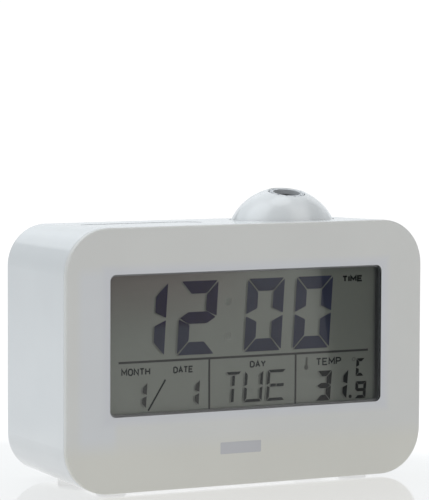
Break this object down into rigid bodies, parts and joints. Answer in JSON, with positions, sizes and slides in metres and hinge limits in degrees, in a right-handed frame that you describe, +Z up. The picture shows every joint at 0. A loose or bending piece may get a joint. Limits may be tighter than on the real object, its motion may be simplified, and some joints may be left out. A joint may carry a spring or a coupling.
{
  "type": "projection alarm clock",
  "caption": "Table alarm clock with a segment display behind a clear window and a tilting projector ball in its top.",
  "frame": {"origin": "on the ground under the middle of the case", "axes": "+Z up, the display faces -Y, +X to the right seen from the front"},
  "size_m": [0.14, 0.053, 0.1019],
  "materials": {
    "white_plastic": "glossy moulded ABS",
    "key_plastic": "satin moulded ABS",
    "dark_plastic": "matte moulded",
    "clear_acrylic": "polished acrylic",
    "display_glass": "reflective display cell",
    "lens_glass": "polished lens",
    "white_film": "matte film",
    "board_laminate": "solder-masked laminate",
    "black_resin": "potting resin",
    "steel": "plated",
    "cell_jacket": "shrink sleeve",
    "ivory_plastic": "moulded nylon",
    "pink_elastomer": "silicone",
    "foot_rubber": "matte rubber",
    "wire_sleeve": "soft sleeve",
    "buzzer_brass": "plain",
    "red_led": "clear red epoxy"
  },
  "bodies": {
    "case": {"front_panel": "white_plastic", "display_window": "clear_acrylic", "main_shell": "white_plastic", "rear_cover": "white_plastic", "feet": "foot_rubber", "case_screws": "steel", "lcd_frame": "dark_plastic", "lcd_cell": "display_glass", "light_guide": "clear_acrylic", "reflector_sheet": "white_film", "backlight_leds": "ivory_plastic", "zebra_strip": "pink_elastomer", "main_board": "board_laminate", "controller_glob": "black_resin", "quartz_crystal": "steel", "capacitors": "cell_jacket", "lead_connectors": "ivory_plastic", "key_board": "board_laminate", "tact_switches": "black_resin", "slide_switch": "steel", "snooze_board": "board_laminate", "snooze_switch": "black_resin", "board_screws": "steel", "key_ribbon": "white_film", "snooze_ribbon": "white_film", "inner_leads": "wire_sleeve", "piezo_buzzer": "buzzer_brass", "thermistor": "wire_sleeve", "battery_cells": "cell_jacket", "battery_plates": "steel", "battery_springs": "steel", "projector_yoke": "key_plastic", "friction_washers": "steel", "projector_lead": "wire_sleeve"},
    "projector_ball": {"ball_upper_shell": "white_plastic", "ball_lower_shell": "white_plastic", "pivot_pins": "steel", "projector_tube": "dark_plastic", "ball_screws": "steel", "ball_lead": "wire_sleeve", "slide_lcd": "display_glass", "condenser_lens": "lens_glass", "projector_led": "red_led", "led_board": "board_laminate"},
    "focus_ring": {"focus_ring": "key_plastic"},
    "lens_carriage": {"lens_barrel": "dark_plastic", "projection_lens": "lens_glass"},
    "snooze_key": {"snooze_key": "white_plastic"},
    "mode_key": {"mode_key": "key_plastic"},
    "set_key": {"set_key": "key_plastic"},
    "up_key": {"up_key": "key_plastic"},
    "down_key": {"down_key": "key_plastic"},
    "switch_knob": {"switch_knob": "dark_plastic"},
    "battery_door": {"battery_door": "white_plastic"}
  },
  "joints": [
    {"name": "projector_tilt", "type": "hinge", "parent": "case", "child": "projector_ball", "pos_m": [0.0295, 0.0032, 0.0818], "axis": [1, 0, 0], "range_deg": [-50, 30]},
    {"name": "lens_travel", "type": "slide", "parent": "projector_ball", "child": "lens_carriage", "axis": [0, -0.1736, 0.9848], "range_m": [-0.0012, 0.0012]},
    {"name": "focus_turn", "type": "hinge", "parent": "projector_ball", "child": "focus_ring", "pos_m": [0.0295, 0.0032, 0.0818], "axis": [0, -0.1736, 0.9848], "range_deg": [-90, 90]},
    {"name": "snooze_press", "type": "slide", "parent": "case", "child": "snooze_key", "axis": [0, 0, -1], "range_m": [0, 0.0008], "stiffness_N_per_m": 800},
    {"name": "mode_press", "type": "slide", "parent": "case", "child": "mode_key", "axis": [0, -1, 0], "range_m": [0, 0.0005], "stiffness_N_per_m": 600},
    {"name": "set_press", "type": "slide", "parent": "case", "child": "set_key", "axis": [0, -1, 0], "range_m": [0, 0.0005], "stiffness_N_per_m": 600},
    {"name": "up_press", "type": "slide", "parent": "case", "child": "up_key", "axis": [0, -1, 0], "range_m": [0, 0.0005], "stiffness_N_per_m": 600},
    {"name": "down_press", "type": "slide", "parent": "case", "child": "down_key", "axis": [0, -1, 0], "range_m": [0, 0.0005], "stiffness_N_per_m": 600},
    {"name": "switch_slide", "type": "slide", "parent": "case", "child": "switch_knob", "axis": [1, 0, 0], "range_m": [0, 0.003]},
    {"name": "battery_door_swing", "type": "hinge", "parent": "case", "child": "battery_door", "pos_m": [-0.004, 0.0263, 0.0072], "axis": [-1, 0, 0], "range_deg": [0, 75]}
  ],
  "couplings": [
    {"joint": "focus_turn", "follows": "lens_travel", "rad_per_m": 1308.9}
  ]
}
